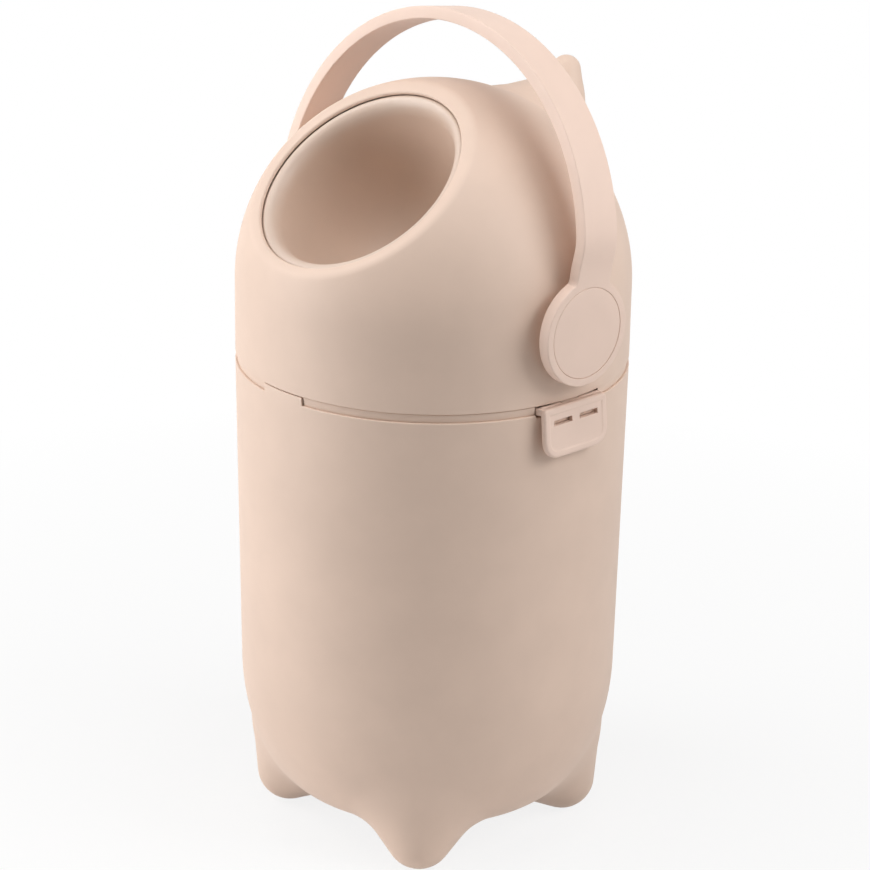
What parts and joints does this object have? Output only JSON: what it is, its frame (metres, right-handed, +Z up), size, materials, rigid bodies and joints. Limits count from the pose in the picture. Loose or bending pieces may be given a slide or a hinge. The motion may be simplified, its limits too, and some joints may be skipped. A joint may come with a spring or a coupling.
{
  "type": "nappy bin",
  "caption": "Round domed nappy bin on four stub feet, with a turning cup in its slanted mouth, a carrying handle that tips the cup, a lift-off head and a bag ring.",
  "frame": {"origin": "centre of the floor contact, under the middle of the bucket", "axes": "+Z up, the slanted mouth faces -Y, the handle and the cup turn about an axis along X"},
  "size_m": [0.3204, 0.2901, 0.6244],
  "materials": {
    "shell": "matt moulded polypropylene, warm beige",
    "inner": "matt moulded polypropylene, slightly darker beige",
    "seal": "soft matt elastomer",
    "pad": "matt grip rubber",
    "bush": "smooth natural acetal",
    "steel": "bright zinc-plated steel"
  },
  "bodies": {
    "bucket": {"bucket": "shell", "foot_pad_front_left": "pad", "foot_pad_front_right": "pad", "foot_pad_back_left": "pad", "foot_pad_back_right": "pad"},
    "ring": {"bag_ring": "shell"},
    "head": {"head_shell": "shell", "head_collar": "inner", "collar_screws": "steel", "mouth_seal": "seal", "bush_left": "bush", "bush_right": "bush", "bush_screws": "steel", "latch_pin_left": "steel", "latch_pin_right": "steel", "glide_washers": "bush"},
    "cup_unit": {"cup": "inner", "ball_shell": "inner", "ball_back": "inner", "ball_screws": "steel", "trunnion_left": "inner", "trunnion_right": "inner", "trunnion_screws": "steel", "handle": "shell", "hub_cap_left": "shell", "hub_cap_right": "shell", "hub_screws": "steel", "hub_washers": "steel"},
    "left_latch": {"latch_left": "shell"},
    "right_latch": {"latch_right": "shell"}
  },
  "joints": [
    {"name": "head_lift", "type": "slide", "parent": "bucket", "child": "head", "axis": [0, 0, 1], "range_m": [0, 0.25]},
    {"name": "ring_lift", "type": "slide", "parent": "bucket", "child": "ring", "axis": [0, 0, 1], "range_m": [0, 0.125]},
    {"name": "cup_turn", "type": "hinge", "parent": "head", "child": "cup_unit", "pos_m": [0, 0, 0.425], "axis": [1, 0, 0], "range_deg": [0, 130]},
    {"name": "left_latch_swing", "type": "hinge", "parent": "head", "child": "left_latch", "pos_m": [-0.143, 0, 0.3694], "axis": [0, 1, 0], "range_deg": [-5.5, 25]},
    {"name": "right_latch_swing", "type": "hinge", "parent": "head", "child": "right_latch", "pos_m": [0.143, 0, 0.3694], "axis": [0, -1, 0], "range_deg": [-5.5, 25]}
  ],
  "couplings": [
    {"joint": "ring_lift", "follows": "head_lift", "ratio": 0.5}
  ]
}
